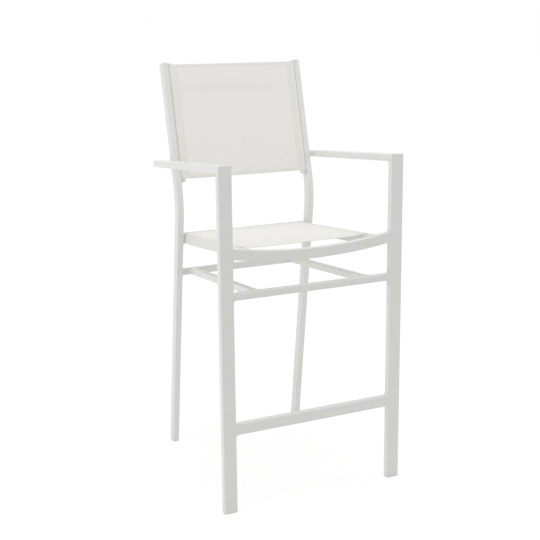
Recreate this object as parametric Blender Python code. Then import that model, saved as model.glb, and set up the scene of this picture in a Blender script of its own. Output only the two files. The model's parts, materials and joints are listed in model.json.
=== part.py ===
"""Outdoor bar stool with arms: a welded aluminium tube frame carrying a stretched mesh seat and back.

Units are metres, +Z is up and the stool faces -Y. Left is -X, as seen from in front.
Meshes are drawn with Y = 0 on the front face of the front legs, and the empty they hang
from moves the stool so that the origin lies on the floor under the middle of its outline.
"""

from collections import namedtuple
from math import asin, cos, pi, radians, sin, sqrt, tan

import bmesh
import bpy
from mathutils import Vector

# Overall sizes
OVERALL_WIDTH = 0.578
ARM_TOP_HEIGHT = 0.993
SEAT_RAIL_TOP = 0.760
BACK_TOP_HEIGHT = 1.243
REAR_FOOT_SETBACK = 0.5606
REAR_BEND_HEIGHT = 0.825

# Slopes of the members
ARM_SLOPE = radians(4.4)
SEAT_SLOPE = radians(4.84)
LOWER_SLOPE = radians(4.36)
LOWER_LEAN = radians(7.98)
UPPER_LEAN = radians(14.25)

# Tubes
LEG_WIDTH = 0.040
LEG_DEPTH = 0.020
ARM_HEIGHT = 0.020
UPRIGHT_WIDTH = 0.020
UPRIGHT_DEPTH = 0.030
RAIL_DEPTH = 0.020
SEAT_RAIL_HEIGHT = 0.030
SEAT_RAIL_WIDTH = 0.020
LOWER_RAIL_SIZE = 0.020
FOOT_RAIL_HEIGHT = 0.032
CROSSBAR_HEIGHT = 0.030
TUBE_WALL = 0.002
TUBE_CORNER = 0.0025
WELD_RADIUS = 0.006
REAR_BEND_RADIUS = 0.290

# Places of the rails
ARM_REAR_REACH = 0.512
ARM_GAP = 0.012
FRONT_RAIL_END_TOP = 0.767
FRONT_RAIL_BOW = 0.0205
REAR_RAIL_PROUD = 0.0003
LOWER_RAIL_TOP = 0.6425
LOWER_SIDE_INSET = 0.030
FOOT_RAIL_TOP = 0.2644
BACK_CROSSBAR_DROP = 0.076
BACK_CROSSBAR_DEPTH = 0.015
BACK_CROSSBAR_CLEARANCE = 0.0025
SEAT_RAIL_GAP = 0.0065

# Arm spacers
ARM_SPACER_LENGTH = 0.024
ARM_SPACER_HEIGHT = 0.014

# Mesh slings and the rails that grip them
SLING_THICKNESS = 0.001
SLING_SPAN_POINTS = 8
SEAT_SLING_FRONT = 0.055
SEAT_SLING_REAR_GAP = 0.003
SEAT_FLAP_INSET = 0.002
SEAT_SAG = 0.005
BACK_SAG = 0.003
BACK_SLING_BOTTOM = 0.897
BACK_SLING_TOP_GAP = 0.0015
BACK_RAIL_BELOW = 0.009
BACK_RAIL_ABOVE = 0.0035
BACK_RAIL_WIDTH = 0.013
BACK_RAIL_DEPTH = 0.022
BACK_RAIL_GAP = 0.0006
BEAD_RADIUS = 0.002
SLING_RAIL_LIP = 0.002
SLING_RAIL_COVER = 0.002
SLING_RAIL_WALL = 0.0018
SLING_RAIL_CORNER = 0.001
HOOK_START = radians(180)
HOOK_END = radians(410)

# Screws that hold the back sling rails
SCREW_RADIUS = 0.0025
SCREW_HEAD_RADIUS = 0.0045
SCREW_HEAD_HEIGHT = 0.0028
SCREW_REACH = 0.006
SCREW_INSET = 0.030

# Plastic plugs
GLIDE_THICKNESS = 0.003
GLIDE_EDGE = 0.001
PLUG_LENGTH = 0.014
CAP_BAND = 0.0015
UPRIGHT_CAP_DOME = 0.004
UPRIGHT_CAP_INSET = 0.005
ARM_CAP_DOME = 0.006
ARM_CAP_INSET = 0.006

# Fit and facets
FIT = 0.0003
CORNER_STEPS = 3
WELD_STEPS = 3
ROUND_STEPS = 16
DOME_STEPS = 4
BEND_STEPS = 8
BOW_STEPS = 14
HOOK_STEPS = 9
SETTLE_STEPS = 20
SAG_FLATNESS = 6
LEAST_CORNER = 0.0004
SHARP_ANGLE = radians(35)

# Values worked out from the sizes above
SIDES = (("left", -1), ("right", 1))
LEG_INNER = OVERALL_WIDTH / 2 - LEG_WIDTH
UPRIGHT_OUTER = LEG_INNER - ARM_GAP
UPRIGHT_INNER = UPRIGHT_OUTER - UPRIGHT_WIDTH
SEAT_OUTER = UPRIGHT_INNER - SEAT_RAIL_GAP
LOWER_SIDE_OUTER = UPRIGHT_INNER - LOWER_SIDE_INSET
BACK_OUTER = UPRIGHT_INNER - BACK_RAIL_GAP
REAR_EDGE = REAR_FOOT_SETBACK + UPRIGHT_DEPTH / cos(LOWER_LEAN)

Axis = namedtuple("Axis", "origin across up along")
Groove = namedtuple("Groove", "bead_u bead_v hook slot radius")
Sling = namedtuple("Sling", "outer width height axis length sag end_sag flap groove")


def finish(name, colour, roughness, metallic=0.0):
    """A plain material in a linear colour."""
    material = bpy.data.materials.new(name)
    material.use_nodes = True
    shader = material.node_tree.nodes["Principled BSDF"]
    shader.inputs["Base Color"].default_value = (*colour, 1.0)
    shader.inputs["Roughness"].default_value = roughness
    shader.inputs["Metallic"].default_value = metallic
    return material


# Points of a section

def rounded_section(width, height, corner):
    """Points round a rectangle with round corners, anticlockwise."""
    corner = max(min(corner, width / 2 - LEAST_CORNER, height / 2 - LEAST_CORNER), LEAST_CORNER)
    points = []
    for quarter, (side_u, side_v) in enumerate(((1, 1), (-1, 1), (-1, -1), (1, -1))):
        centre_u = side_u * (width / 2 - corner)
        centre_v = side_v * (height / 2 - corner)
        for step in range(CORNER_STEPS + 1):
            angle = (quarter + step / CORNER_STEPS) * pi / 2
            points.append((centre_u + corner * cos(angle), centre_v + corner * sin(angle)))
    return points


def inset_section(width, height, inset, corner=TUBE_CORNER):
    return rounded_section(width - 2 * inset, height - 2 * inset, corner - inset)


def round_section(radius, steps=ROUND_STEPS):
    turns = [2 * pi * step / steps for step in range(steps)]
    return [(radius * cos(turn), radius * sin(turn)) for turn in turns]


def ring_on_plane(section, axis, point, normal):
    """Runs each point of a section along the axis as far as a plane."""
    ring = []
    for u, v in section:
        start = axis.origin + axis.across * u + axis.up * v
        travel = (point - start).dot(normal) / axis.along.dot(normal)
        ring.append(start + axis.along * travel)
    return ring


# Solids

def place(name, form, material):
    """Turns a bmesh into a named object that hangs from the stool's empty."""
    bmesh.ops.recalc_face_normals(form, faces=form.faces)
    mesh = bpy.data.meshes.new(name)
    form.to_mesh(mesh)
    form.free()
    mesh.materials.append(material)
    mesh.shade_smooth()
    mesh.set_sharp_from_angle(angle=SHARP_ANGLE)
    piece = bpy.data.objects.new(name, mesh)
    bpy.context.scene.collection.objects.link(piece)
    piece.parent = stool
    return piece


def skin(form, first, second):
    """Joins two rings of vertices with a band of faces."""
    for here in range(len(first)):
        there = (here + 1) % len(first)
        form.faces.new((first[here], first[there], second[there], second[here]))


def loft_tube(name, outer_rings, inner_rings, material, first_rims=(), last_rims=()):
    """A tube with open ends, from rings along its outside and its bore.

    Rims are further rings over the end of the wall, from the outside to the bore.
    """
    form = bmesh.new()
    loop = outer_rings + list(last_rims) + inner_rings[::-1] + list(first_rims)[::-1]
    rings = [[form.verts.new(point) for point in ring] for ring in loop]
    for first, second in zip(rings, rings[1:] + rings[:1]):
        skin(form, first, second)
    return place(name, form, material)


def loft_solid(name, rings, material):
    """A solid with flat ends, from rings along it."""
    form = bmesh.new()
    loops = [[form.verts.new(point) for point in ring] for ring in rings]
    for first, second in zip(loops, loops[1:]):
        skin(form, first, second)
    form.faces.new(loops[0])
    form.faces.new(loops[-1])
    return place(name, form, material)


def straight_tube(name, axis, width, height, ends, material):
    """A straight tube cut by a plane, given as a point and a normal, at each end."""
    outer = rounded_section(width, height, TUBE_CORNER)
    inner = inset_section(width, height, TUBE_WALL)
    outer_rings = [ring_on_plane(outer, axis, *end) for end in ends]
    inner_rings = [ring_on_plane(inner, axis, *end) for end in ends]
    return loft_tube(name, outer_rings, inner_rings, material)


def plug(name, axis, width, height, end, outward, profile, material):
    """A plug in a tube's end: profile gives how far each ring stands out and how far it is inset."""
    point, normal = end
    rings = []
    for stand_out, inset in profile:
        section = inset_section(width, height, inset)
        rings.append(ring_on_plane(section, axis, point + normal * (outward * stand_out), normal))
    return loft_solid(name, rings, material)


def domed_plug_profile(band, dome, dome_inset):
    """The push-in part, a straight band as wide as the tube, and a dome."""
    inside = TUBE_WALL + FIT
    profile = [(-PLUG_LENGTH, inside), (FIT, inside), (FIT, 0.0)]
    for step in range(DOME_STEPS + 1):
        turn = step / DOME_STEPS * pi / 2
        profile.append((FIT + band + dome * sin(turn), dome_inset * (1 - cos(turn))))
    return profile


# Front legs and arms

def sloped_axis(x, y, z, slope):
    """An axis that runs to the rear and falls at a slope."""
    along = Vector((0, cos(slope), -sin(slope)))
    up = Vector((0, sin(slope), cos(slope)))
    return Axis(Vector((x, y, z)), Vector((1, 0, 0)), up, along)


def arm_mitre():
    """A point on the cut between leg and arm, and its normal, which points to the arm."""
    fall = tan(ARM_SLOPE) * LEG_DEPTH + ARM_HEIGHT / cos(ARM_SLOPE)
    normal = Vector((0, fall, LEG_DEPTH)).normalized()
    return Vector((0, 0, ARM_TOP_HEIGHT)), normal


def arm_axis(sign):
    axis = sloped_axis(sign * (OVERALL_WIDTH - LEG_WIDTH) / 2, 0, ARM_TOP_HEIGHT, ARM_SLOPE)
    return axis._replace(origin=axis.origin - axis.up * (ARM_HEIGHT / 2))


def leg_axis(sign):
    centre = Vector((sign * (OVERALL_WIDTH - LEG_WIDTH) / 2, LEG_DEPTH / 2, 0))
    return Axis(centre, Vector((1, 0, 0)), Vector((0, 1, 0)), Vector((0, 0, 1)))


def make_front_legs():
    corner, normal = arm_mitre()
    for side, sign in SIDES:
        foot = (Vector((0, 0, GLIDE_THICKNESS + FIT)), Vector((0, 0, 1)))
        top = (corner - normal * (FIT / 2), normal)
        straight_tube(f"front_leg_{side}", leg_axis(sign), LEG_WIDTH, LEG_DEPTH, (foot, top), coat)


def make_arms():
    corner, normal = arm_mitre()
    profile = domed_plug_profile(CAP_BAND, ARM_CAP_DOME, ARM_CAP_INSET)
    for side, sign in SIDES:
        axis = arm_axis(sign)
        front = (corner + normal * (FIT / 2), normal)
        rear = (axis.origin + axis.along * (ARM_REAR_REACH / cos(ARM_SLOPE)), axis.along)
        straight_tube(f"armrest_{side}", axis, LEG_WIDTH, ARM_HEIGHT, (front, rear), coat)
        plug(f"armrest_cap_{side}", axis, LEG_WIDTH, ARM_HEIGHT, rear, 1, profile, plastic)


def make_arm_spacers():
    """Short stubs that join each arm to its rear leg across the gap between them."""
    for side, sign in SIDES:
        arm = arm_axis(sign)
        height = ARM_TOP_HEIGHT - tan(ARM_SLOPE) * REAR_FOOT_SETBACK
        centre_y = rear_centre(height)
        centre = arm.origin + arm.along * (centre_y / cos(ARM_SLOPE))
        centre.x = 0
        axis = Axis(centre, arm.along, arm.up, Vector((sign, 0, 0)))
        normal = Vector((1, 0, 0))
        ends = (
            (Vector((sign * (UPRIGHT_OUTER + FIT), 0, 0)), normal),
            (Vector((sign * (LEG_INNER - FIT), 0, 0)), normal),
        )
        straight_tube(f"arm_spacer_{side}", axis, ARM_SPACER_LENGTH, ARM_SPACER_HEIGHT, ends, coat)


# Rear legs

def rear_bend():
    """The bend of the centre line: its corner, and the two directions it turns between."""
    lower = Vector((0, -sin(LOWER_LEAN), cos(LOWER_LEAN)))
    upper = Vector((0, sin(UPPER_LEAN), cos(UPPER_LEAN)))
    lower_rear = Vector((0, cos(LOWER_LEAN), sin(LOWER_LEAN)))
    upper_rear = Vector((0, cos(UPPER_LEAN), -sin(UPPER_LEAN)))
    front = Vector((0, REAR_FOOT_SETBACK - tan(LOWER_LEAN) * REAR_BEND_HEIGHT, REAR_BEND_HEIGHT))
    spread = (lower_rear + upper_rear) / (1 + lower_rear.dot(upper_rear))
    return front, front + spread * (UPRIGHT_DEPTH / 2), lower, upper


def rear_centre(height):
    """Depth of a rear leg's centre line at a height clear of the bend."""
    _, corner, lower, upper = rear_bend()
    way = upper if height > corner.z else lower
    return corner.y + way.y / way.z * (height - corner.z)


def rear_leg_rings(section, sign):
    """Rings of a section up a rear leg, from its foot through the bend to its top."""
    _, corner, lower, _ = rear_bend()
    turn = LOWER_LEAN + UPPER_LEAN
    reach = REAR_BEND_RADIUS * tan(turn / 2)
    centre = corner - lower * reach + Vector((0, cos(LOWER_LEAN), sin(LOWER_LEAN))) * REAR_BEND_RADIUS
    across = Vector((sign, 0, 0))
    shift = across * ((UPRIGHT_OUTER + UPRIGHT_INNER) / 2)
    foot_axis = Axis(corner + shift, across, Vector((0, cos(LOWER_LEAN), sin(LOWER_LEAN))), lower)
    floor = (Vector((0, 0, GLIDE_THICKNESS + FIT)), Vector((0, 0, 1)))
    rings = [ring_on_plane(section, foot_axis, *floor)]
    for step in range(BEND_STEPS + 1):
        lean = -LOWER_LEAN + turn * step / BEND_STEPS
        rear = Vector((0, cos(lean), -sin(lean)))
        middle = centre - rear * REAR_BEND_RADIUS + shift
        rings.append([middle + across * u + rear * v for u, v in section])
    top_axis, top = upright_top(sign)
    rings.append(ring_on_plane(section, top_axis, *top))
    return rings


def upright_top(sign):
    """Axis of a rear leg's upper part and the plane that ends it."""
    front, corner, _, upper = rear_bend()
    rear = Vector((0, cos(UPPER_LEAN), -sin(UPPER_LEAN)))
    middle = Vector((sign * (UPRIGHT_OUTER + UPRIGHT_INNER) / 2, 0, 0))
    end = front + upper * ((BACK_TOP_HEIGHT - front.z) / upper.z)
    return Axis(corner + middle, Vector((sign, 0, 0)), rear, upper), (end, upper)


def make_rear_legs():
    outer = rounded_section(UPRIGHT_WIDTH, UPRIGHT_DEPTH, TUBE_CORNER)
    inner = inset_section(UPRIGHT_WIDTH, UPRIGHT_DEPTH, TUBE_WALL)
    profile = domed_plug_profile(CAP_BAND, UPRIGHT_CAP_DOME, UPRIGHT_CAP_INSET)
    for side, sign in SIDES:
        outside = rear_leg_rings(outer, sign)
        bore = rear_leg_rings(inner, sign)
        leg = loft_tube(f"rear_leg_{side}", outside, bore, coat)
        drill(leg, sign)
        axis, top = upright_top(sign)
        plug(f"rear_leg_cap_{side}", axis, UPRIGHT_WIDTH, UPRIGHT_DEPTH, top, 1, profile, plastic)


# Foot glides

def make_glides():
    """Moulded feet: a plug in the tube and a plate with a rounded lower edge."""
    floor = Vector((0, 0, GLIDE_THICKNESS + FIT)), Vector((0, 0, 1))
    inside = TUBE_WALL + FIT
    bottom = GLIDE_THICKNESS + FIT
    profile = [(-PLUG_LENGTH, inside), (FIT, inside), (FIT, 0.0)]
    for step in range(DOME_STEPS + 1):
        turn = step / DOME_STEPS * pi / 2
        profile.append((bottom - GLIDE_EDGE * (1 - sin(turn)), GLIDE_EDGE * (1 - cos(turn))))
    for side, sign in SIDES:
        plug(f"front_glide_{side}", leg_axis(sign), LEG_WIDTH, LEG_DEPTH, floor, -1, profile, plastic)
        _, corner, lower, _ = rear_bend()
        middle = Vector((sign * (UPRIGHT_OUTER + UPRIGHT_INNER) / 2, 0, 0))
        rear = Vector((0, cos(LOWER_LEAN), sin(LOWER_LEAN)))
        axis = Axis(corner + middle, Vector((sign, 0, 0)), rear, lower)
        plug(f"rear_glide_{side}", axis, UPRIGHT_WIDTH, UPRIGHT_DEPTH, floor, -1, profile, plastic)


# Rails that run across the stool

def fall_away(depth, leg_depth):
    """How far a leg's rounded edge has drawn back from its flat side at a depth into the leg."""
    near = min(depth, leg_depth - depth)
    if near >= TUBE_CORNER:
        return 0.0
    return TUBE_CORNER - sqrt(max(TUBE_CORNER ** 2 - (TUBE_CORNER - max(near, 0)) ** 2, 0))


def round_edge_insets():
    """Depths of the facets of a leg's round edge that lie within the wall of a tube."""
    depths = [TUBE_CORNER * (1 - cos(step / CORNER_STEPS * pi / 2)) for step in range(1, CORNER_STEPS)]
    return [depth for depth in depths if depth < TUBE_WALL]


def cross_rail(name, half, centre, depth, height, flush_depth=None, tilt=0.0, bow=0.0):
    """A rail between two legs, with a weld fillet above and below each end.

    half is the distance from the middle to the leg, flush_depth the depth of a leg whose
    front face the rail is flush with, and bow how far the middle of the rail hangs down.
    """
    back = Vector((0, cos(tilt), -sin(tilt)))
    up = Vector((0, sin(tilt), cos(tilt)))
    radius = (half ** 2 + bow ** 2) / (2 * bow) if bow else 0.0

    def dip(x):
        return radius - sqrt(radius ** 2 - x ** 2) if bow else 0.0

    def ring(section, x, cope):
        points = []
        for u, v in section:
            round_edge = fall_away(u + depth / 2, flush_depth) * cope if flush_depth else 0.0
            side = x + (round_edge if x > 0 else -round_edge)
            stretch = 1 / cos(asin(side / radius)) if bow else 1.0
            hung = centre + Vector((side, 0, dip(side) - dip(half)))
            points.append(hung + back * u + up * (v * stretch))
        return points

    def weld_station(turn):
        """Distance from the middle, growth of the section and share of the leg's round edge."""
        return end - WELD_RADIUS * (1 - cos(turn)), WELD_RADIUS * (1 - sin(turn)), cos(turn)

    end = half - FIT
    welds = [weld_station(step / WELD_STEPS * pi / 2) for step in range(WELD_STEPS + 1)]
    bends = []
    if bow:
        bends = [(end - WELD_RADIUS) * (1 - 2 * step / BOW_STEPS) for step in range(1, BOW_STEPS)]
    grown = []
    for x, growth, cope in welds:
        grown.append((x, rounded_section(depth, height + 2 * growth, TUBE_CORNER), cope))
    plain = rounded_section(depth, height, TUBE_CORNER)
    bore = inset_section(depth, height, TUBE_WALL)
    outer_rings = [ring(section, x, cope) for x, section, cope in grown]
    outer_rings += [ring(plain, x, 0.0) for x in bends]
    outer_rings += [ring(section, -x, cope) for x, section, cope in grown[::-1]]
    inner_rings = [ring(bore, end, 1.0)] + [ring(bore, x, 0.0) for x in bends] + [ring(bore, -end, 1.0)]
    rims = []
    for inset in round_edge_insets():
        taller = 2 * WELD_RADIUS * (1 - inset / TUBE_WALL)
        rims.append(inset_section(depth, height + taller, inset))
    first_rims = [ring(rim, end, 1.0) for rim in rims]
    last_rims = [ring(rim, -end, 1.0) for rim in rims]
    return loft_tube(name, outer_rings, inner_rings, coat, first_rims, last_rims)


def make_front_rails():
    rails = (
        ("foot_rail", FOOT_RAIL_TOP, FOOT_RAIL_HEIGHT, 0.0),
        ("lower_front_rail", LOWER_RAIL_TOP, LOWER_RAIL_SIZE, 0.0),
        ("front_seat_rail", FRONT_RAIL_END_TOP, SEAT_RAIL_HEIGHT, FRONT_RAIL_BOW),
    )
    for name, top, height, bow in rails:
        centre = Vector((0, RAIL_DEPTH / 2, top - height / 2))
        cross_rail(name, LEG_INNER, centre, RAIL_DEPTH, height, LEG_DEPTH, bow=bow)


def rear_rail_face(height):
    """Depth of the front face of a rail that is centred on the rear legs."""
    return rear_centre(height) - RAIL_DEPTH / 2


def sloped_top(front_top, slope, depth):
    """Height of a sloped member's top at a depth, when its front end starts behind the front rails."""
    return front_top - tan(slope) * (depth - RAIL_DEPTH)


def rear_rail_top(front_top, slope, proud, height):
    """Top of a rear rail that a sloped member butts.

    Its height sets its depth on the leaning legs, and its depth its height, so it is stepped to.
    """
    top = front_top
    for _ in range(SETTLE_STEPS):
        top = sloped_top(front_top, slope, rear_rail_face(top - height / 2)) + proud
    return top


def rear_seat_rail_top():
    return rear_rail_top(SEAT_RAIL_TOP, SEAT_SLOPE, REAR_RAIL_PROUD, CROSSBAR_HEIGHT)


def lower_rear_rail_top():
    return rear_rail_top(LOWER_RAIL_TOP, LOWER_SLOPE, 0.0, LOWER_RAIL_SIZE)


def make_rear_rails():
    rails = (
        ("rear_seat_rail", rear_seat_rail_top(), CROSSBAR_HEIGHT),
        ("lower_rear_rail", lower_rear_rail_top(), LOWER_RAIL_SIZE),
    )
    for name, top, height in rails:
        middle = top - height / 2
        centre = Vector((0, rear_centre(middle), middle))
        cross_rail(name, UPRIGHT_INNER, centre, RAIL_DEPTH, height)


# Rails that run from front to rear

def make_lower_side_rails():
    """Square tubes between the lower front and rear rails, with weld fillets beside their ends."""
    rear_face = rear_rail_face(lower_rear_rail_top() - LOWER_RAIL_SIZE / 2)
    normal = Vector((0, 1, 0))
    ends = ((Vector((0, RAIL_DEPTH + FIT, 0)), normal), (Vector((0, rear_face - FIT, 0)), normal))
    bore = inset_section(LOWER_RAIL_SIZE, LOWER_RAIL_SIZE, TUBE_WALL)
    stations = []
    for step in range(WELD_STEPS + 1):
        turn = step / WELD_STEPS * pi / 2
        width = LOWER_RAIL_SIZE + 2 * WELD_RADIUS * (1 - sin(turn))
        inset = normal * (WELD_RADIUS * (1 - cos(turn)))
        stations.append((inset, rounded_section(width, LOWER_RAIL_SIZE, TUBE_CORNER)))
    for side, sign in SIDES:
        x = sign * (LOWER_SIDE_OUTER - LOWER_RAIL_SIZE / 2)
        axis = sloped_axis(x, RAIL_DEPTH, LOWER_RAIL_TOP, LOWER_SLOPE)
        axis = axis._replace(origin=axis.origin - axis.up * (LOWER_RAIL_SIZE / 2))
        front, rear = ends[0][0], ends[1][0]
        outer_rings = [ring_on_plane(section, axis, front + inset, normal) for inset, section in stations]
        for inset, section in reversed(stations):
            outer_rings.append(ring_on_plane(section, axis, rear - inset, normal))
        inner_rings = [ring_on_plane(bore, axis, *end) for end in ends]
        loft_tube(f"lower_side_rail_{side}", outer_rings, inner_rings, coat)


# Sling rails: extrusions with a chamber and a groove that grips the beaded edge of the mesh

def bead_groove(height):
    """The groove in a rail, with u measured inwards from its outer face and v up from its middle."""
    hook = BEAD_RADIUS + FIT + SLING_THICKNESS / 2
    radius = hook + SLING_THICKNESS / 2 + FIT
    slot = SLING_THICKNESS + 2 * FIT
    return Groove(SLING_RAIL_LIP + radius, height / 2 - SLING_RAIL_COVER - radius, hook, slot, radius)


def sling_rail_section(width, height, groove):
    """Outline with the groove let into the top near the outer face, and the chamber below it."""
    outline = []
    corner = min(SLING_RAIL_CORNER, SLING_RAIL_LIP / 2)
    for u, v in rounded_section(width, height, corner):
        outline.append((width / 2 + u, v))
    # The outline runs anticlockwise, so the top is crossed from the inner face to the outer one.
    inner_wall = groove.bead_u - groove.radius + groove.slot
    mouth = asin((groove.bead_u - inner_wall) / groove.radius)
    start = pi / 2 + mouth
    cut = [(inner_wall, height / 2)]
    for step in range(ROUND_STEPS + 1):
        turn = start - (start + pi) * step / ROUND_STEPS
        cut.append((groove.bead_u + groove.radius * cos(turn), groove.bead_v + groove.radius * sin(turn)))
    cut.append((groove.bead_u - groove.radius, height / 2))
    corners_before = CORNER_STEPS + 1
    outline[corners_before:corners_before] = cut
    chamber_top = groove.bead_v - groove.radius - SLING_RAIL_WALL
    chamber_bottom = -height / 2 + SLING_RAIL_WALL
    middle = (chamber_top + chamber_bottom) / 2
    chamber_width = width - 2 * SLING_RAIL_WALL
    chamber = rounded_section(chamber_width, chamber_top - chamber_bottom, SLING_RAIL_WALL / 2)
    return outline, [(width / 2 + u, middle + v) for u, v in chamber]


def extrude_section(name, loops, axis, ends, material):
    """Fills a section made of an outline and its holes, and extrudes it between two planes."""
    form = bmesh.new()
    edges = []
    places = []
    for loop in loops:
        points = ring_on_plane(loop, axis, *ends[0])
        verts = [form.verts.new(point) for point in points]
        edges += [form.edges.new(pair) for pair in zip(verts, verts[1:] + verts[:1])]
        places += list(zip(verts, ring_on_plane(loop, axis, *ends[1])))
    targets = {tuple(vert.co): far for vert, far in places}
    filled = bmesh.ops.triangle_fill(form, edges=edges, use_beauty=True, use_dissolve=False)
    faces = [item for item in filled["geom"] if isinstance(item, bmesh.types.BMFace)]
    grown = bmesh.ops.extrude_face_region(form, geom=faces, use_keep_orig=True)
    for item in grown["geom"]:
        if isinstance(item, bmesh.types.BMVert):
            item.co = targets[tuple(item.co)]
    return place(name, form, material)


def seat_axis():
    axis = sloped_axis(0, RAIL_DEPTH, SEAT_RAIL_TOP, SEAT_SLOPE)
    return axis._replace(origin=axis.origin - axis.up * (SEAT_RAIL_HEIGHT / 2))


def seat_sling():
    """The seat's sling, whose axis starts at its front edge.

    It sags at the free front edge only: its rear edge is a flap that lies on the rear rail.
    """
    axis = seat_axis()
    rail_top = rear_seat_rail_top()
    rail_face = rear_rail_face(rail_top - CROSSBAR_HEIGHT / 2)
    rear = rail_face - SEAT_SLING_REAR_GAP
    start = axis.origin + axis.along * ((SEAT_SLING_FRONT - RAIL_DEPTH) / cos(SEAT_SLOPE))
    length = (rear - SEAT_SLING_FRONT) / cos(SEAT_SLOPE)
    groove = bead_groove(SEAT_RAIL_HEIGHT)
    axis = axis._replace(origin=start)
    edge = Vector((0, rail_face + RAIL_DEPTH - SEAT_FLAP_INSET, rail_top + FIT)) - start
    flap = (edge.dot(axis.along), edge.dot(axis.up) - SEAT_RAIL_HEIGHT / 2 - FIT)
    return Sling(SEAT_OUTER, SEAT_RAIL_WIDTH, SEAT_RAIL_HEIGHT, axis, length, SEAT_SAG, 0.0, flap, groove)


def back_sling():
    """The back's sling, whose axis starts at its lower edge and whose face is flush with the uprights."""
    front, _, _, upper = rear_bend()
    forward = Vector((0, -cos(UPPER_LEAN), sin(UPPER_LEAN)))
    face = front + upper * ((BACK_SLING_BOTTOM - front.z) / upper.z)
    start = face - forward * (SLING_THICKNESS + FIT + BACK_RAIL_DEPTH / 2)
    axis = Axis(start, Vector((1, 0, 0)), forward, upper)
    length = (BACK_TOP_HEIGHT - BACK_SLING_BOTTOM) / upper.z - BACK_SLING_TOP_GAP
    groove = bead_groove(BACK_RAIL_DEPTH)
    rail = (BACK_OUTER, BACK_RAIL_WIDTH, BACK_RAIL_DEPTH)
    return Sling(*rail, axis, length, BACK_SAG, BACK_SAG, None, groove)


def rail_axis(sling, sign):
    """The axis of the rail on one side, with u running inwards from the rail's outer face."""
    outer_face = sling.axis.origin + Vector((sign * sling.outer, 0, 0))
    return sling.axis._replace(origin=outer_face, across=Vector((-sign, 0, 0)))


def make_seat_side_rails():
    sling = seat_sling()
    loops = sling_rail_section(sling.width, sling.height, sling.groove)
    rear_face = rear_rail_face(rear_seat_rail_top() - CROSSBAR_HEIGHT / 2)
    normal = Vector((0, 1, 0))
    ends = ((Vector((0, RAIL_DEPTH + FIT, 0)), normal), (Vector((0, rear_face - FIT, 0)), normal))
    for side, sign in SIDES:
        extrude_section(f"seat_side_rail_{side}", loops, rail_axis(sling, sign), ends, coat)


def make_back_sling_rails():
    sling = back_sling()
    loops = sling_rail_section(sling.width, sling.height, sling.groove)
    along = sling.axis.along
    bottom = sling.axis.origin - along * BACK_RAIL_BELOW
    top = sling.axis.origin + along * (sling.length + BACK_RAIL_ABOVE)
    ends = ((bottom, along), (top, along))
    for side, sign in SIDES:
        rail = extrude_section(f"back_sling_rail_{side}", loops, rail_axis(sling, sign), ends, coat)
        drill(rail, sign)


def make_back_crossbar():
    """A spreader between the back sling rails, clear of the mesh in front of it."""
    sling = back_sling()
    axis = sling.axis
    height = BACK_TOP_HEIGHT - BACK_CROSSBAR_DROP
    middle = axis.origin + axis.along * ((height - axis.origin.z) / axis.along.z)
    front = sling.height / 2 + FIT - sling.sag - BACK_CROSSBAR_CLEARANCE
    centre = middle + axis.up * (front - BACK_CROSSBAR_DEPTH / 2)
    half = sling.outer - sling.width
    cross_rail("back_crossbar", half, centre, BACK_CROSSBAR_DEPTH, CROSSBAR_HEIGHT, tilt=UPPER_LEAN)


# Mesh slings

def sling_path(sling, sag):
    """The middle of the mesh in section, as (x, v), from the right-hand hook over to the left-hand one."""
    groove = sling.groove
    top = sling.height / 2 + FIT + SLING_THICKNESS / 2
    bend = groove.slot / 2
    half = []
    for step in range(HOOK_STEPS + 1):
        turn = HOOK_END + (HOOK_START - HOOK_END) * step / HOOK_STEPS
        u = groove.bead_u + groove.hook * cos(turn)
        half.append((sling.outer - u, groove.bead_v + groove.hook * sin(turn)))
    slot_u = groove.bead_u - groove.hook
    for step in range(CORNER_STEPS + 1):
        turn = pi - pi / 2 * step / CORNER_STEPS
        half.append((sling.outer - slot_u - bend - bend * cos(turn), top - bend + bend * sin(turn)))
    inner_edge = sling.outer - sling.width
    for step in range(SLING_SPAN_POINTS):
        share = 1 - (step / SLING_SPAN_POINTS) ** 2
        half.append((inner_edge * share, top - sag * (1 - share ** SAG_FLATNESS)))
    middle = [(0.0, top - sag)]
    return half + middle + [(-x, v) for x, v in half[::-1]]


def offset_path(path, distance):
    """The path moved sideways by a distance."""
    moved = []
    for index, point in enumerate(path):
        before = Vector(path[max(index - 1, 0)])
        after = Vector(path[min(index + 1, len(path) - 1)])
        way = (after - before).normalized()
        moved.append((point[0] - way.y * distance, point[1] + way.x * distance))
    return moved


def sling_rows(form, sling, travel, sag, lift, first):
    """The upper and lower row of a sling's section, without the points before first at each side."""
    path = sling_path(sling, sag)
    start = sling.axis.origin + sling.axis.along * travel + sling.axis.up * lift
    rows = []
    for side in (1, -1):
        face = offset_path(path, side * SLING_THICKNESS / 2)[first:len(path) - first]
        rows.append([form.verts.new(start + sling.axis.across * x + sling.axis.up * v) for x, v in face])
    return rows


def close_section(form, rows, here, there):
    """Fills a section between its two rows, from one point to another."""
    for index in range(here, there):
        form.faces.new((rows[0][index], rows[0][index + 1], rows[1][index + 1], rows[1][index]))


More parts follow.
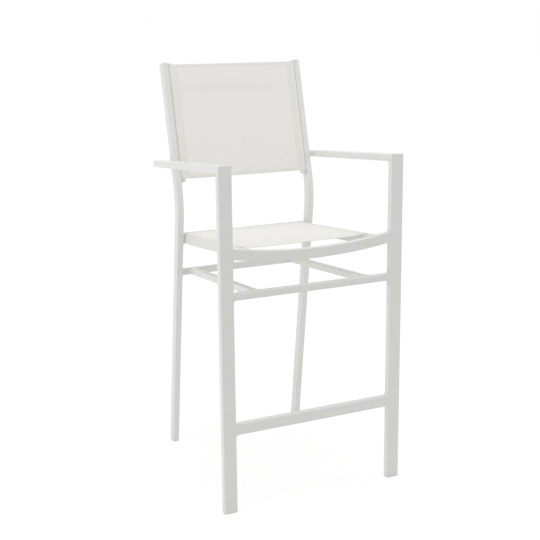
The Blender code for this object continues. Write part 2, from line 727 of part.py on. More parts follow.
def make_sling(name, sling, material):
    """A sheet of even thickness from one end of the sling to the other, and the flap beyond it, if any."""
    form = bmesh.new()
    start = sling_rows(form, sling, 0.0, sling.sag, 0.0, 0)
    end = sling_rows(form, sling, sling.length, sling.end_sag, 0.0, 0)
    skin(form, start[0] + start[1][::-1], end[0] + end[1][::-1])
    last = len(start[0]) - 1
    close_section(form, start, 0, last)
    if sling.flap:
        # The flap leaves out the hooks, which end with the rails.
        hooks = HOOK_STEPS + CORNER_STEPS + 1
        edge = sling_rows(form, sling, sling.flap[0], sling.end_sag, sling.flap[1], hooks)
        root = [row[hooks:last + 1 - hooks] for row in end]
        skin(form, root[0] + root[1][::-1], edge[0] + edge[1][::-1])
        close_section(form, edge, 0, len(edge[0]) - 1)
        close_section(form, end, 0, hooks)
        close_section(form, end, last - hooks, last)
    else:
        close_section(form, end, 0, last)
    return place(name, form, material)


def make_beads(name, sling):
    """Round rods that the hooked edges of a sling close on."""
    section = round_section(BEAD_RADIUS)
    for side, sign in SIDES:
        axis = rail_axis(sling, sign)
        centre = axis.origin + axis.across * sling.groove.bead_u + axis.up * sling.groove.bead_v
        axis = axis._replace(origin=centre)
        rings = []
        for travel in (0.0, sling.length):
            rings.append(ring_on_plane(section, axis, centre + axis.along * travel, axis.along))
        loft_solid(f"{name}_{side}", rings, plastic)


def make_slings():
    seat, back = seat_sling(), back_sling()
    make_sling("seat_sling", seat, mesh_cloth)
    make_sling("back_sling", back, mesh_cloth)
    make_beads("seat_bead", seat)
    make_beads("back_bead", back)


# Screws between the back sling rails and the rear legs

def screw_axes(sign):
    """Axes of one side's two screws, from the rail's inner face outwards."""
    sling = back_sling()
    groove = sling.groove
    chamber_top = groove.bead_v - groove.radius - SLING_RAIL_WALL
    chamber_middle = (chamber_top - sling.height / 2 + SLING_RAIL_WALL) / 2
    inner_face = Vector((sign * (sling.outer - sling.width), 0, 0))
    face = sling.axis.origin + inner_face + sling.axis.up * chamber_middle
    for end, travel in (("lower", SCREW_INSET), ("upper", sling.length - SCREW_INSET)):
        start = face + sling.axis.along * travel
        yield end, Axis(start, sling.axis.up, sling.axis.along, Vector((sign, 0, 0)))


def turned_rings(axis, profile):
    """Rings of a turned form, from pairs of distance along the axis and radius."""
    return [ring_on_plane(round_section(radius), axis, axis.origin + axis.along * travel, axis.along)
            for travel, radius in profile]


def screw_tip():
    """How far a screw reaches from the rail's inner face."""
    return BACK_RAIL_WIDTH + BACK_RAIL_GAP + TUBE_WALL + SCREW_REACH


def drill(piece, sign):
    """Cuts the holes for one side's screws out of a rail or a rear leg."""
    reach = screw_tip() + FIT
    for end, axis in screw_axes(sign):
        radius = SCREW_RADIUS + FIT
        name = f"{piece.name}_{end}_drill"
        cutter = loft_solid(name, turned_rings(axis, ((-FIT, radius), (reach, radius))), coat)
        cutter.hide_render = True
        cutter.display_type = "WIRE"
        cut = piece.modifiers.new(f"{end}_hole", "BOOLEAN")
        cut.operation = "DIFFERENCE"
        cut.solver = "EXACT"
        cut.object = cutter


def make_screws():
    for side, sign in SIDES:
        for end, axis in screw_axes(sign):
            head = (
                (-FIT - SCREW_HEAD_HEIGHT, SCREW_HEAD_RADIUS - SCREW_HEAD_HEIGHT / 2),
                (-FIT - SCREW_HEAD_HEIGHT / 2, SCREW_HEAD_RADIUS),
                (-FIT, SCREW_HEAD_RADIUS),
                (-FIT, SCREW_RADIUS),
                (screw_tip(), SCREW_RADIUS),
            )
            loft_solid(f"back_rail_screw_{side}_{end}", turned_rings(axis, head), steel)


# The stool

for old in list(bpy.data.objects):
    bpy.data.objects.remove(old, do_unlink=True)

coat = finish("white_powder_coat", (0.80, 0.80, 0.78), 0.45)
mesh_cloth = finish("white_sling_mesh", (0.80, 0.79, 0.75), 0.75)
plastic = finish("white_plastic", (0.78, 0.78, 0.76), 0.5)
steel = finish("stainless_steel", (0.60, 0.60, 0.60), 0.3, 1.0)

stool = bpy.data.objects.new("bar_stool", None)
bpy.context.scene.collection.objects.link(stool)
stool.location = (0, -REAR_EDGE / 2, 0)

make_front_legs()
make_arms()
make_arm_spacers()
make_rear_legs()
make_glides()
make_front_rails()
make_rear_rails()
make_lower_side_rails()
make_seat_side_rails()
make_back_sling_rails()
make_back_crossbar()
make_slings()
make_screws()
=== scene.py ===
"""Looks of a white outdoor bar stool with arms: a welded tube frame that carries a mesh seat and back."""
import json
from math import atan2, cos, pi, radians, sin

import bmesh
import bpy
from mathutils import Matrix, Vector


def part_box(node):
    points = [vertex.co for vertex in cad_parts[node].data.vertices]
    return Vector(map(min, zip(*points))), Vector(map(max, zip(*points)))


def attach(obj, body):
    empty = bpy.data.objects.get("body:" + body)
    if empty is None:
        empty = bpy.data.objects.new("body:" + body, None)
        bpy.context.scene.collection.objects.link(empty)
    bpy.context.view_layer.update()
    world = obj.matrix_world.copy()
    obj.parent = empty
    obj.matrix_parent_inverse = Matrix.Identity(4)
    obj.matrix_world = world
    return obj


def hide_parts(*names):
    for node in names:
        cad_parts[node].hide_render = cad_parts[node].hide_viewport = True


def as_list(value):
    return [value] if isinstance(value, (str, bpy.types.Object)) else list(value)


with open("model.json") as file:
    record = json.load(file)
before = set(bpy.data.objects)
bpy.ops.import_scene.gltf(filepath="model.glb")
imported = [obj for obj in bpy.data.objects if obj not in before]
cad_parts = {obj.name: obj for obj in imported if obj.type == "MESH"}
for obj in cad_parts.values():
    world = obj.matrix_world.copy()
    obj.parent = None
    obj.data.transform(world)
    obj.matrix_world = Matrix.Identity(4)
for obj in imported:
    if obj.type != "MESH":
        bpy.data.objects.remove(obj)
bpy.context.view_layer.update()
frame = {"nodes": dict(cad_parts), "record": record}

MM = 0.001
ACROSS = Vector((1, 0, 0))

# Camera, fitted to the straight edges of the frame in the photograph
CAMERA_PLACE = Vector((-1.3030, -2.7328, 1.3436))
CAMERA_SWING = radians(25.519)
CAMERA_RISE = radians(12.4225)
CAMERA_ROLL = radians(-0.589)
CAMERA_LENS = 67.286
CAMERA_SHIFT = -0.0333

# Studio: the point that the lamps look at, their size, and the floor
LIT_MIDDLE = Vector((0, 0, 0.75))
SOFT_BOX_SIZE = 2.4
FLOOR_HALF = 30
FLOOR_DROP = 0.1 * MM

# Woven mesh of the slings, and how its two layers sit in the groove of a rail
CLOTH = 0.55 * MM
LAYER = 0.75 * MM
CLEARANCE = 0.3 * MM
GROOVE_DEPTH = 5.6 * MM
INNER_LAYER = 2.43 * MM
LOOP_RADIUS = 2.5 * MM
FOLD_RADIUS = 0.6 * MM
NECK_RADIUS = 0.5 * MM
SEAT_SAG = 4.5 * MM
SEAT_SAG_LEFT = 1.2 * MM
BACK_SAG = 3 * MM
SAG_FLATNESS = 10
SIDE_HEM = 28 * MM
END_HEM = 10 * MM
HEM_EDGE = 0.5 * MM
HEM_GAP = 1 * MM

# Steps in which the mesh is laid: over half its span, over a side hem, round a bead, along the rails
# and over half an end hem. A loop runs three quarters round its bead, and narrows in its first steps.
SPAN_STEPS = 16
SIDE_HEM_STEPS = 4
LOOP_STEPS = 24
LOOP_NARROWING_STEPS = 6
LOOP_SWEEP = 270
LENGTH_STEPS = 8
END_HEM_STEPS = 14

# Lockstitch along the hems
STITCH_PITCH = 4.5 * MM
STITCH_LENGTH = 3.4 * MM
STITCH_WIDTH = 0.7 * MM
STITCH_RISE = 0.35 * MM
STITCH_INSET = 3 * MM
STITCH_END_GAP = 2 * MM

# Button head screws of the back rails, for a 3 mm key
SCREW_HEAD_HEIGHT = 2.8 * MM
SCREW_CROWN_RADIUS = 2.3 * MM
SCREW_DOME_HEIGHT = 2.2 * MM
SCREW_SHANK_RADIUS = 2.5 * MM
SCREW_SOCKET_RADIUS = 1.73 * MM
SCREW_SOCKET_DEPTH = 1.6 * MM
SCREW_CHAMFER = 0.2 * MM
SCREW_SIDES = 24
SCREW_DOME_STEPS = 6
SCREW_SHARP_ANGLE = radians(40)
HEXAGON_SIDE = radians(60)

# A Mix node has sockets of the same name for each kind of value, so they go by number:
# the first value, the second and the result
MIX_SOCKETS = {"FLOAT": (2, 3, 0), "RGBA": (6, 7, 2)}


def linear(code):
    """Turns an sRGB hex code into the linear colour that a shader reads."""
    parts = [int(code[k:k + 2], 16) / 255 for k in (1, 3, 5)]
    return [p / 12.92 if p <= 0.04045 else ((p + 0.055) / 1.055) ** 2.4 for p in parts] + [1.0]


def fill_sockets(tree, node, inputs):
    """Fills the sockets of a shader node with values or links."""
    for name, value in inputs.items():
        if isinstance(value, bpy.types.NodeSocket):
            tree.links.new(value, node.inputs[name])
        else:
            node.inputs[name].default_value = value


def add_node(tree, kind, inputs, **settings):
    """Adds a shader node with its settings and inputs."""
    made = tree.nodes.new(kind)
    for name, value in settings.items():
        setattr(made, name, value)
    fill_sockets(tree, made, inputs)
    return made


def blend(tree, kind, share, one, other):
    """Mixes two numbers or two colours by a share, and gives back the result."""
    first, second, result = MIX_SOCKETS[kind]
    mix = add_node(tree, "ShaderNodeMix", {0: share, first: one, second: other}, data_type=kind)
    return mix.outputs[result]


def grain(tree, size, detail):
    """Gives a noise on the object itself, whose patches are of about the given size."""
    place = add_node(tree, "ShaderNodeTexCoord", {}).outputs["Object"]
    noise = add_node(tree, "ShaderNodeTexNoise", {"Vector": place, "Scale": 1 / size, "Detail": detail})
    return noise.outputs["Fac"]


def between(tree, share, low, high):
    """Gives a number between two limits."""
    spread = add_node(tree, "ShaderNodeMapRange", {"Value": share, "To Min": low, "To Max": high})
    return spread.outputs["Result"]


def relief(tree, height, strength, depth):
    """Gives the normal of a surface with a fine relief."""
    bump = add_node(tree, "ShaderNodeBump", {"Height": height, "Strength": strength, "Distance": depth})
    return bump.outputs["Normal"]


def calculate(tree, operation, *values):
    """Gives the result of a calculation with one or two numbers."""
    return add_node(tree, "ShaderNodeMath", dict(enumerate(values)), operation=operation).outputs[0]


def new_material(name):
    """Starts a material and gives back its node tree and its shader."""
    material = bpy.data.materials.new(name)
    material.use_nodes = True
    return material, material.node_tree, material.node_tree.nodes["Principled BSDF"]


def polyester_powder_coat():
    """White polyester powder, sprayed on aluminium tube and baked: a satin skin with faint orange peel."""
    material, tree, shader = new_material("polyester_powder_coat")
    # The coat varies in thickness over about a hand's breadth, which shifts its tone by a hair
    build = grain(tree, 90 * MM, 2.0)
    # Real orange peel is 2 mm across, and is drawn at 5 mm so that it shows
    peel = grain(tree, 5 * MM, 1.0)
    fill_sockets(tree, shader, {
        "Base Color": blend(tree, "RGBA", build, linear("#e3e3e0"), linear("#e8e8e6")),
        "Roughness": between(tree, peel, 0.40, 0.52),
        "Normal": relief(tree, peel, 0.07, 0.3 * MM),
        "IOR": 1.5,
    })
    return material


def moulded_polyethylene():
    """White polyethylene, injection moulded against a spark-eroded tool: waxy, with a fine matt grain."""
    material, tree, shader = new_material("moulded_polyethylene")
    flow = grain(tree, 20 * MM, 1.0)
    # The pits of the tool are 0.2 mm across, and are drawn at 1.5 mm so that they show
    pits = grain(tree, 1.5 * MM, 2.0)
    fill_sockets(tree, shader, {
        "Base Color": blend(tree, "RGBA", flow, linear("#dfdfda"), linear("#e5e5e1")),
        "Roughness": between(tree, pits, 0.48, 0.62),
        "Normal": relief(tree, pits, 0.3, 0.2 * MM),
        "IOR": 1.51,
    })
    return material


def turned_stainless_steel():
    """Stainless steel screws, turned and tumbled: grey, with fine tool marks."""
    material, tree, shader = new_material("turned_stainless_steel")
    marks = grain(tree, 0.8 * MM, 3.0)
    fill_sockets(tree, shader, {
        "Base Color": blend(tree, "RGBA", marks, linear("#b9b8b4"), linear("#cfcecb")),
        "Roughness": between(tree, marks, 0.22, 0.40),
        "Metallic": 1.0,
    })
    return material


def woven_coated_yarn():
    """Polyester yarn in a white vinyl skin, woven plain and fused: dull round yarns, pin holes between."""
    material, tree, shader = new_material("woven_coated_yarn")
    cut = add_node(tree, "ShaderNodeUVMap", {}, uv_map="cut")
    # Real yarns lie 1.2 mm apart, and are drawn 2.4 mm apart so that they show
    pitch = 2.4 * MM
    turned = add_node(tree, "ShaderNodeVectorMath", {
        0: cut.outputs["UV"],
        1: (pi / pitch, pi / pitch, 0),
    }, operation="MULTIPLY")
    axes = add_node(tree, "ShaderNodeSeparateXYZ", {"Vector": turned.outputs["Vector"]})
    warp_wave = calculate(tree, "SINE", axes.outputs["X"])
    weft_wave = calculate(tree, "SINE", axes.outputs["Y"])
    warp = calculate(tree, "ABSOLUTE", warp_wave)
    weft = calculate(tree, "ABSOLUTE", weft_wave)
    over = calculate(tree, "GREATER_THAN", calculate(tree, "MULTIPLY", warp_wave, weft_wave), 0.0)
    yarn = blend(tree, "FLOAT", over, warp, weft)
    normal = relief(tree, yarn, 0.4, 0.3 * MM)
    # Where the mesh lies double, at the hems, it is denser and closed. Its tone there is darker and a
    # little yellower: partly the denser double layer, and partly painted shade for the light from behind
    # that the double layer lets through less
    doubled = add_node(tree, "ShaderNodeAttribute", {}, attribute_name="doubled").outputs["Fac"]
    # The low parts of the weave, between the raised yarns, are painted darker: painted shade in the
    # hollows of the weave, on single and double mesh alike
    bare_tone_with_painted_shade = blend(tree, "RGBA", yarn, linear("#f2f1ed"), linear("#f8f7f3"))
    hem_tone_with_painted_shade = blend(tree, "RGBA", yarn, linear("#eae8e3"), linear("#f2f0eb"))
    tone = blend(tree, "RGBA", doubled, bare_tone_with_painted_shade, hem_tone_with_painted_shade)
    filled = calculate(tree, "ADD", calculate(tree, "MAXIMUM", warp, weft), doubled)
    # A pin hole is left where neither yarn has risen far
    thread = add_node(tree, "ShaderNodeMapRange", {
        "Value": filled,
        "From Min": 0.22,
        "From Max": 0.40,
    }).outputs["Result"]
    fill_sockets(tree, shader, {
        "Base Color": tone,
        "Normal": normal,
        "Alpha": thread,
        "Roughness": 0.62,
        "IOR": 1.5,
    })
    # The white yarn lets a little light through, and less where it lies double
    passed = add_node(tree, "ShaderNodeBsdfTranslucent", {"Color": tone, "Normal": normal})
    lit = add_node(tree, "ShaderNodeMixShader", {
        0: calculate(tree, "MULTIPLY", thread, between(tree, doubled, 0.06, 0.03)),
        1: shader.outputs["BSDF"],
        2: passed.outputs["BSDF"],
    })
    fill_sockets(tree, tree.nodes["Material Output"], {"Surface": lit.outputs[0]})
    return material


def polyester_thread():
    """Bonded white polyester thread: a tight twist with a dull shine."""
    material, tree, shader = new_material("polyester_thread")
    ply = grain(tree, 0.6 * MM, 1.0)
    fill_sockets(tree, shader, {
        "Base Color": blend(tree, "RGBA", ply, linear("#dcdad3"), linear("#efede8")),
        "Normal": relief(tree, ply, 0.5, 0.2 * MM),
        "Roughness": 0.55,
    })
    return material


def new_piece(name, shape, material):
    """Makes a smooth-shaded object of a bmesh, which rides on the stool's one body."""
    mesh = bpy.data.meshes.new(name)
    shape.to_mesh(mesh)
    shape.free()
    mesh.shade_smooth()
    piece = bpy.data.objects.new(name, mesh)
    bpy.context.scene.collection.objects.link(piece)
    mesh.materials.append(material)
    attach(piece, "root")
    return piece


def rod_ends(node):
    """Gives the two ends of a straight rod's axis, the front or lower one first."""
    points = [vertex.co for vertex in frame["nodes"][node].data.vertices]
    low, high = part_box(node)
    axis = max(range(3), key=lambda k: high[k] - low[k])
    middle = (low[axis] + high[axis]) / 2
    ends = []
    for group in ([p for p in points if p[axis] < middle], [p for p in points if p[axis] >= middle]):
        ends.append(Vector([(min(p[k] for p in group) + max(p[k] for p in group)) / 2 for k in range(3)]))
    return ends


def arc(centre, radius, first, last, steps):
    """Gives points on an arc between two angles in degrees."""
    turns = [radians(first + (last - first) * k / steps) for k in range(steps + 1)]
    return [(centre[0] + radius * cos(t), centre[1] + radius * sin(t)) for t in turns]


def lengths_along(path):
    """Gives the distance of each point from the start of a path."""
    reached = [0.0]
    for a, b in zip(path, path[1:]):
        reached.append(reached[-1] + ((b[0] - a[0]) ** 2 + (b[1] - a[1]) ** 2) ** 0.5)
    return reached


class Sling:
    """A width of mesh stretched between two rails, each edge looped round a bead in the rail's groove."""

    def __init__(self, name, sag, sag_left, end_sag, rails, resting, hem_names):
        near, far = rod_ends(name + "_bead_right")
        self.name = name
        self.sag = sag
        self.sag_left = sag_left
        self.end_sag = end_sag
        self.resting = resting
        self.hem_names = hem_names
        self.rail_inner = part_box(rails[1])[0].x
        self.hem_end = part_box(rails[1])[1].x - SIDE_HEM
        self.bead = near.x
        self.start = Vector((0, near.y, near.z))
        self.along = (far - near).normalized()
        self.up = ACROSS.cross(self.along)
        self.length = (far - near).length
        self.under = GROOVE_DEPTH + CLEARANCE
        edge = self.far_edge()
        self.full_length = edge.dot(self.along)
        self.flap_lift = edge.dot(self.up) - self.under
        self.fold_x = self.bead + INNER_LAYER - FOLD_RADIUS

    def far_edge(self):
        """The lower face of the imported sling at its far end, seen from the sling's start."""
        points = [vertex.co - self.start for vertex in frame["nodes"][self.name + "_sling"].data.vertices]
        reach = max(p.dot(self.along) for p in points)
        if reach <= self.length + CLEARANCE:
            return self.along * self.length + self.up * self.under
        last = [p for p in points if p.dot(self.along) > reach - CLEARANCE]
        over_rails = [p.dot(self.up) for p in last if abs(p.x) > self.rail_inner]
        return self.along * reach + self.up * min(over_rails)

    def lie(self, x, reach):
        """Height of the upper layer over the beads' axis: level on the rails, hollow between them."""
        share = min(reach / self.length, 1)
        near_sag = self.sag - self.sag_left * x / self.rail_inner
        sag = near_sag + (self.end_sag - near_sag) * share
        level = self.under + CLOTH / 2 + LAYER
        if reach > self.length:
            level += self.flap_lift * (reach - self.length) / (self.full_length - self.length)
        return level - sag * (1 - min(abs(x) / self.rail_inner, 1) ** SAG_FLATNESS)

    def at(self, x, rise, reach):
        """Turns a place on the sling into a point of the stool."""
        return self.start + ACROSS * x + self.up * rise + self.along * reach

    def half_path(self):
        """Runs from the middle over the right rail, down its slot, round the bead and back as the hem.

        Each point is its distance from the middle, whether it lies on the span, and its height: over the
        beads' axis, or below the upper layer where it lies on the span.
        """
        fold = (self.fold_x, self.under + CLOTH / 2 - FOLD_RADIUS)
        span = [self.hem_end * k / SPAN_STEPS for k in range(SPAN_STEPS)] + [self.hem_end - HEM_EDGE]
        hem_width = self.rail_inner - self.hem_end
        hem = [self.hem_end + HEM_EDGE]
        hem += [self.hem_end + hem_width * k / SIDE_HEM_STEPS for k in range(1, SIDE_HEM_STEPS + 1)]
        looped = arc(fold, FOLD_RADIUS + LAYER, 90, 0, steps=6)
        for k in range(LOOP_STEPS + 1):
            turn = -radians(LOOP_SWEEP * k / LOOP_STEPS)
            slack = (INNER_LAYER + LAYER - LOOP_RADIUS) * max(0, 1 - k / LOOP_NARROWING_STEPS)
            radius = LOOP_RADIUS + slack
            looped.append((self.bead + radius * cos(turn), radius * sin(turn)))
        neck = (self.bead + INNER_LAYER - NECK_RADIUS, LOOP_RADIUS + NECK_RADIUS)
        looped += arc(neck, NECK_RADIUS, -90, 0, steps=4)
        looped += arc(fold, FOLD_RADIUS, 0, 90, steps=5)
        path = [(x, True, 0.0) for x in span + hem]
        path += [(x, False, rise) for x, rise in looped]
        path += [(x, True, -LAYER) for x in reversed(hem)]
        return path

    def laid(self, name, width_cut, length_cut, place, doubled, left_out, material):
        """Lays a flat cut of mesh: each crossing of its grid is moved, and keeps its place on the cut."""
        columns = len(width_cut)
        rows = len(length_cut)
        shape = bmesh.new()
        bmesh.ops.create_grid(shape, x_segments=columns - 1, y_segments=rows - 1, size=0.5)
        cut = shape.loops.layers.uv.new("cut")
        dense = shape.verts.layers.float.new("doubled")
        shape.verts.index_update()
        for vertex in shape.verts:
            column, row = vertex.index % columns, vertex.index // columns
            vertex.co = place(column, row)
            vertex[dense] = doubled(column, row)
        waste = []
        for face in shape.faces:
            corner = min(vertex.index for vertex in face.verts)
            if left_out(corner % columns, corner // columns):
                waste.append(face)
            for loop in face.loops:
                spot = loop.vert.index
                loop[cut].uv = (width_cut[spot % columns], length_cut[spot // columns])
        bmesh.ops.delete(shape, geom=waste, context="FACES")
        piece = new_piece(name, shape, material)
        thickness = piece.modifiers.new("thickness", "SOLIDIFY")
        thickness.thickness = CLOTH
        thickness.offset = 0
        return piece

    def main_sheet(self, material):
        """The whole cut from hem to hem, with its loops round the beads, which end where the rails do."""
        right = self.half_path()
        path = [(-x, on_span, rise) for x, on_span, rise in reversed(right)] + right[1:]
        # The row next to each edge keeps the round of the edge from shading the whole hem
        ends = [0, HEM_EDGE, END_HEM - HEM_EDGE, END_HEM + HEM_EDGE]
        length_cut = ends + [self.length * k / LENGTH_STEPS for k in range(1, LENGTH_STEPS)]
        if self.full_length > self.length:
            length_cut.append(self.length)
        length_cut += [self.full_length - reach for reach in reversed(ends)]

        def height(x, on_span, rise, reach):
            return self.lie(x, reach) + rise if on_span else rise

        def place(column, row):
            x, on_span, rise = path[column]
            return self.at(x, height(x, on_span, rise, length_cut[row]), length_cut[row])

        def doubled(column, row):
            in_side = abs(path[column][0]) > self.hem_end
            in_end = min(length_cut[row], self.full_length - length_cut[row]) < END_HEM
            return 1.0 if in_side or in_end else 0.0

        # The loops and side hems end with the rails, and a flap goes on without them
        turn = [on_span for x, on_span, rise in right].index(False)
        hooked = len(right) - 1 - turn

        def left_out(column, row):
            return length_cut[row] >= self.length and not hooked <= column < len(path) - 1 - hooked

        width_cut = lengths_along([(x, height(x, on_span, rise, 0)) for x, on_span, rise in path])
        self.flat = (width_cut[-1], self.full_length)
        return self.laid(self.name + "_mesh", width_cut, length_cut, place, doubled, left_out, material)

    def end_hem(self, name, far_end, side, material):
        """The turned-under edge at one end."""
        reach_in = arc((0, -LAYER / 2), LAYER / 2, 90, 270, steps=6)
        reach_in += [(END_HEM / 2, -LAYER), (END_HEM, -LAYER)]
        fold_cut = lengths_along(reach_in)
        stations = [side * k / END_HEM_STEPS for k in range(-END_HEM_STEPS, END_HEM_STEPS + 1)]

        def place(column, row):
            reach, drop = reach_in[row]
            if far_end:
                reach = self.full_length - reach
            return self.at(stations[column], self.lie(stations[column], reach) + drop, reach)

        def doubled(column, row):
            return 1.0

        def left_out(column, row):
            return False

        return self.laid(self.name + name, stations, fold_cut, place, doubled, left_out, material)

    def stitches(self, material):
        """Lockstitch rows through the hems, on both faces of the mesh."""
        shape = bmesh.new()
        seams = []
        for side in (-1, 1):
            x = side * (self.hem_end + STITCH_INSET)
            count = int((self.length - 2 * END_HEM) / STITCH_PITCH)
            seams += [(x, END_HEM + STITCH_PITCH * (k + 0.5), False) for k in range(count)]
        reach_across = self.hem_end - STITCH_END_GAP
        count = int(2 * reach_across / STITCH_PITCH)
        for reach in (END_HEM - STITCH_INSET, self.full_length - END_HEM + STITCH_INSET):
            seams += [(-reach_across + STITCH_PITCH * (k + 0.5), reach, True) for k in range(count)]
        size = Matrix.Diagonal((STITCH_LENGTH / 2, STITCH_WIDTH / 2, STITCH_RISE / 2, 1))
        for x, reach, crosswise in seams:
            run = ACROSS if crosswise else self.along
            basis = Matrix((run, self.up.cross(run), self.up)).transposed().to_4x4()
            for rise in (self.lie(x, reach) + CLOTH / 2, self.lie(x, reach) - LAYER - CLOTH / 2):
                spot = Matrix.Translation(self.at(x, rise, reach))
                bmesh.ops.create_icosphere(shape, subdivisions=1, radius=1, matrix=spot @ basis @ size)
        return new_piece(self.name + "_stitching", shape, material)

    def hang(self, mesh_material, thread_material):
        """Makes the sheet with its hems and stitching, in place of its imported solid."""
        sheet = self.main_sheet(mesh_material)
        between_hems = self.hem_end - HEM_GAP
        flap_half = self.fold_x - HEM_GAP if self.full_length > self.length else between_hems
        trims = [
            self.end_hem(self.hem_names[0], False, between_hems, mesh_material),
            self.end_hem(self.hem_names[1], True, flap_half, mesh_material),
            self.stitches(thread_material),
        ]
        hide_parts(self.name + "_sling")
        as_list(self.resting)


def socket_screw(place, material):
    """Turns a button head screw with a hexagon socket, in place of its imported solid."""
    node = "back_rail_screw_" + place
    low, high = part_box(node)
    head_radius = (high.z - low.z) / 2
    swell = head_radius - SCREW_CROWN_RADIUS
    rings = [(SCREW_SOCKET_DEPTH, SCREW_SOCKET_RADIUS, True), (SCREW_CHAMFER, SCREW_SOCKET_RADIUS, True)]
    for step in range(SCREW_DOME_STEPS + 1):
        lean = radians(90 * step / SCREW_DOME_STEPS)
        rings.append((SCREW_DOME_HEIGHT * (1 - cos(lean)), SCREW_CROWN_RADIUS + swell * sin(lean), False))
    rings.append((SCREW_HEAD_HEIGHT, head_radius, False))
    rings.append((SCREW_HEAD_HEIGHT + SCREW_CHAMFER, SCREW_SHANK_RADIUS, False))
    rings.append((high.x - low.x, SCREW_SHANK_RADIUS, False))
    shape = bmesh.new()
    loops = []
    for travel, radius, six_sided in rings:
        spot = Matrix.Translation((0, 0, travel))
        ring = bmesh.ops.create_circle(shape, segments=SCREW_SIDES, radius=radius, matrix=spot)["verts"]
        # The socket's rings are drawn in to a hexagon, whose corners stay where they are
        for vertex in ring if six_sided else []:
            off_flat = atan2(vertex.co.y, vertex.co.x) % HEXAGON_SIDE - HEXAGON_SIDE / 2
            vertex.co.xy = vertex.co.xy * cos(HEXAGON_SIDE / 2) / cos(off_flat)
        loops.append(list(dict.fromkeys(edge for vertex in ring for edge in vertex.link_edges)))
    for one, other in zip(loops, loops[1:]):
        bmesh.ops.bridge_loops(shape, edges=one + other)
    bmesh.ops.edgeloop_fill(shape, edges=loops[0])
    bmesh.ops.edgeloop_fill(shape, edges=loops[-1])
    middle = (low + high) / 2
    inward = 1 if middle.x > 0 else -1
    crown = Vector((low.x if middle.x > 0 else high.x, middle.y, middle.z))
    stance = Matrix.Translation(crown) @ Matrix.Rotation(radians(90) * inward, 4, "Y")
    bmesh.ops.transform(shape, matrix=stance, verts=shape.verts)
    bmesh.ops.recalc_face_normals(shape, faces=shape.faces)
    screw = new_piece("socket_screw_" + place, shape, material)
    screw.data.set_sharp_from_angle(angle=SCREW_SHARP_ANGLE)
    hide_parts(node)


def dress_frame(finishes):
    """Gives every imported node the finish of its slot."""
    slots = {part["node"]: part["material_slot"] for part in frame["record"]["subparts"]}
    for name, piece in frame["nodes"].items():
        piece.data.materials.clear()
        piece.data.materials.append(finishes[slots[name]])


def floor_paper():
    """White seamless paper: matt, and bright to the eye so that it fades into the background."""
    material, tree, shader = new_material("floor_paper")
    tree.nodes.remove(shader)
    rays = add_node(tree, "ShaderNodeLightPath", {})
    seen = calculate(tree, "MAXIMUM", rays.outputs["Is Camera Ray"], rays.outputs["Is Glossy Ray"])
    paper = add_node(tree, "ShaderNodeBsdfDiffuse", {"Color": linear("#f0f0ee")})
    shaded = add_node(tree, "ShaderNodeBsdfDiffuse", {"Color": linear("#8a8a89")})
    # The lamps light the paper round the stool, and past their reach it glows a little more
    place = add_node(tree, "ShaderNodeTexCoord", {}).outputs["Object"]
    away = add_node(tree, "ShaderNodeVectorMath", {0: place}, operation="LENGTH")
    level = add_node(tree, "ShaderNodeMapRange", {
        "Value": away.outputs["Value"],
        "From Min": 0.8,
        "From Max": 5.0,
        "To Min": 0.78,
        "To Max": 0.87,
    })
    glow = add_node(tree, "ShaderNodeEmission", {
        "Color": linear("#ffffff"),
        "Strength": level.outputs["Result"],
    })
    lifted = add_node(tree, "ShaderNodeAddShader", {0: shaded.outputs[0], 1: glow.outputs[0]})
    mixed = add_node(tree, "ShaderNodeMixShader", {0: seen, 1: paper.outputs[0], 2: lifted.outputs[0]})
    fill_sockets(tree, tree.nodes["Material Output"], {"Surface": mixed.outputs[0]})
    return material


def lay_floor():
    """Lays the floor that the stool stands on."""
    shape = bmesh.new()
    bmesh.ops.create_grid(shape, x_segments=1, y_segments=1, size=FLOOR_HALF)
    mesh = bpy.data.meshes.new("floor")
    shape.to_mesh(mesh)
    shape.free()
    floor = bpy.data.objects.new("floor", mesh)
    floor.location.z = -FLOOR_DROP
    bpy.context.scene.collection.objects.link(floor)
    mesh.materials.append(floor_paper())


def soft_box(name, place, power, colour):
    """Hangs a large square lamp that looks at the middle of the stool."""
    lamp = bpy.data.lights.new(name, "AREA")
    lamp.size = SOFT_BOX_SIZE
    lamp.energy = power
    lamp.color = colour
    holder = bpy.data.objects.new(name, lamp)
    holder.location = place
    holder.rotation_euler = (Vector(place) - LIT_MIDDLE).to_track_quat("Z", "Y").to_euler()
    holder.visible_camera = False
    bpy.context.scene.collection.objects.link(holder)


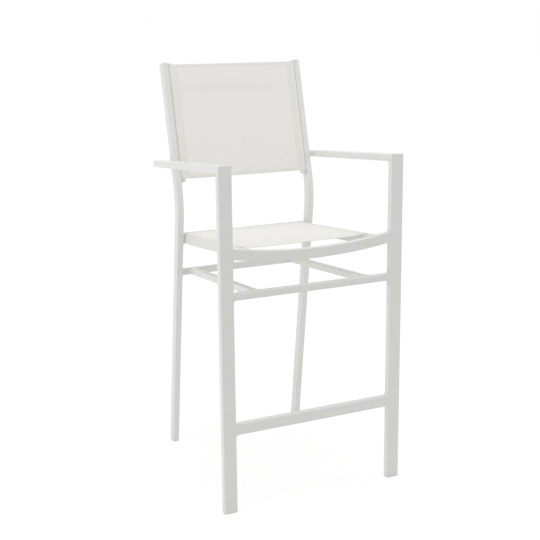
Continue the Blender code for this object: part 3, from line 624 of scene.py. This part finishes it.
def light_studio():
    """Even soft light all round, and large soft boxes at the sides, overhead and behind."""
    world = bpy.data.worlds.new("studio")
    bpy.context.scene.world = world
    world.use_nodes = True
    tree = world.node_tree
    white = linear("#ffffff")
    fill = tree.nodes["Background"]
    fill_sockets(tree, fill, {"Color": white, "Strength": 0.62})
    backdrop = add_node(tree, "ShaderNodeBackground", {"Color": white, "Strength": 1.0})
    rays = add_node(tree, "ShaderNodeLightPath", {})
    direct = calculate(tree, "MAXIMUM", rays.outputs["Is Camera Ray"], rays.outputs["Is Glossy Ray"])
    seen = calculate(tree, "MAXIMUM", direct, rays.outputs["Is Transmission Ray"])
    mixed = add_node(tree, "ShaderNodeMixShader", {0: seen, 1: fill.outputs[0], 2: backdrop.outputs[0]})
    fill_sockets(tree, tree.nodes["World Output"], {"Surface": mixed.outputs[0]})
    soft_box("left_box", place=(-2.9, -0.3, 0.65), power=27.3, colour=(0.945, 0.96, 1.0))
    soft_box("right_box", place=(2.8, -0.3, 1.2), power=26, colour=white[:3])
    soft_box("top_box", place=(0.0, -0.2, 3.2), power=21.5, colour=white[:3])
    soft_box("rear_box", place=(0.0, 2.8, 1.2), power=8, colour=white[:3])


def set_camera():
    """Stands the camera where the photograph was taken."""
    lens = bpy.data.cameras.new("camera")
    lens.sensor_width = 36
    lens.lens = CAMERA_LENS
    lens.shift_y = CAMERA_SHIFT
    lens.clip_end = 200
    level = Vector((-sin(CAMERA_SWING), -cos(CAMERA_SWING), 0))
    backwards = level * cos(CAMERA_RISE) + Vector((0, 0, sin(CAMERA_RISE)))
    turn = backwards.to_track_quat("Z", "Y").to_matrix() @ Matrix.Rotation(CAMERA_ROLL, 3, "Z")
    camera = bpy.data.objects.new("camera", lens)
    camera.matrix_world = Matrix.Translation(CAMERA_PLACE) @ turn.to_4x4()
    bpy.context.scene.collection.objects.link(camera)
    bpy.context.scene.camera = camera


bpy.context.scene.view_settings.view_transform = "Standard"
set_camera()
light_studio()
lay_floor()
yarn = woven_coated_yarn()
thread = polyester_thread()
steel = turned_stainless_steel()
dress_frame({
    "white_powder_coat": polyester_powder_coat(),
    "white_plastic": moulded_polyethylene(),
    "white_sling_mesh": yarn,
    "stainless_steel": steel,
})
seat_rails = ["seat_side_rail_left", "seat_side_rail_right"]
back_rails = ["back_sling_rail_left", "back_sling_rail_right"]
seat_rests = seat_rails + ["rear_seat_rail"]
seat = Sling(
    "seat",
    sag=SEAT_SAG,
    sag_left=SEAT_SAG_LEFT,
    end_sag=0.0,
    rails=seat_rails,
    resting=seat_rests,
    hem_names=("_front_hem", "_rear_hem"),
)
back = Sling(
    "back",
    sag=BACK_SAG,
    sag_left=0.0,
    end_sag=BACK_SAG,
    rails=back_rails,
    resting=back_rails,
    hem_names=("_lower_hem", "_upper_hem"),
)
seat.hang(yarn, thread)
back.hang(yarn, thread)
for place in ("left_lower", "left_upper", "right_lower", "right_upper"):
    socket_screw(place, steel)
